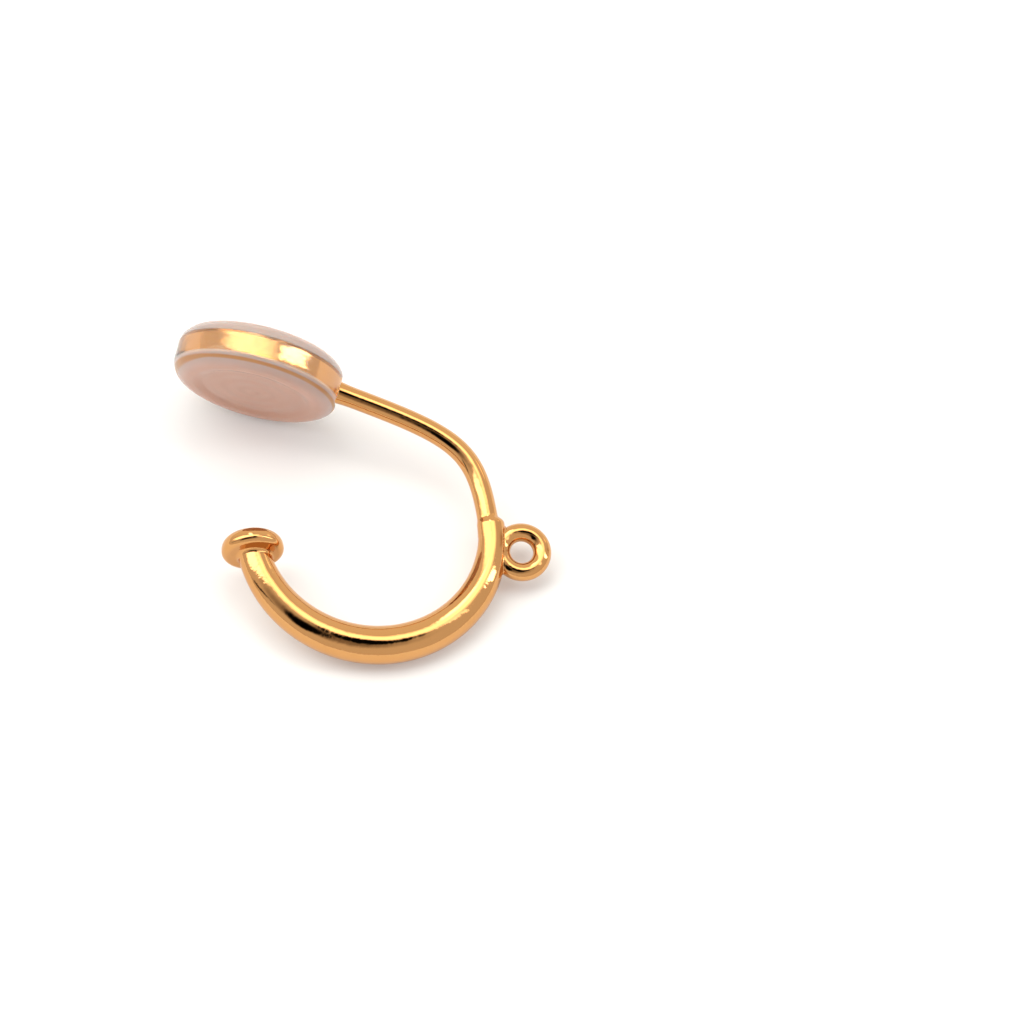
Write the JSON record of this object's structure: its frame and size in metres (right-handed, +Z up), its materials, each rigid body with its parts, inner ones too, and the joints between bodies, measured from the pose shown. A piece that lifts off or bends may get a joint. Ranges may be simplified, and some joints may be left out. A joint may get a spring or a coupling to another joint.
{
  "type": "clip on earring",
  "caption": "Clip on earring: half-round hoop with a flat head, a hanging loop and a springy arm that presses a soft round pad on the ear lobe.",
  "frame": {"origin": "middle of the box's base, on the surface that the earring lies on", "axes": "+X along the arm from the pad towards the hoop's back, +Z up as it rests on its side"},
  "size_m": [0.0192, 0.014, 0.008],
  "materials": {
    "gilt_metal": "polished, gold plated",
    "soft_pad": "translucent, moulded"
  },
  "bodies": {
    "root": {"clip_frame": "gilt_metal", "pad": "soft_pad"}
  },
  "joints": []
}
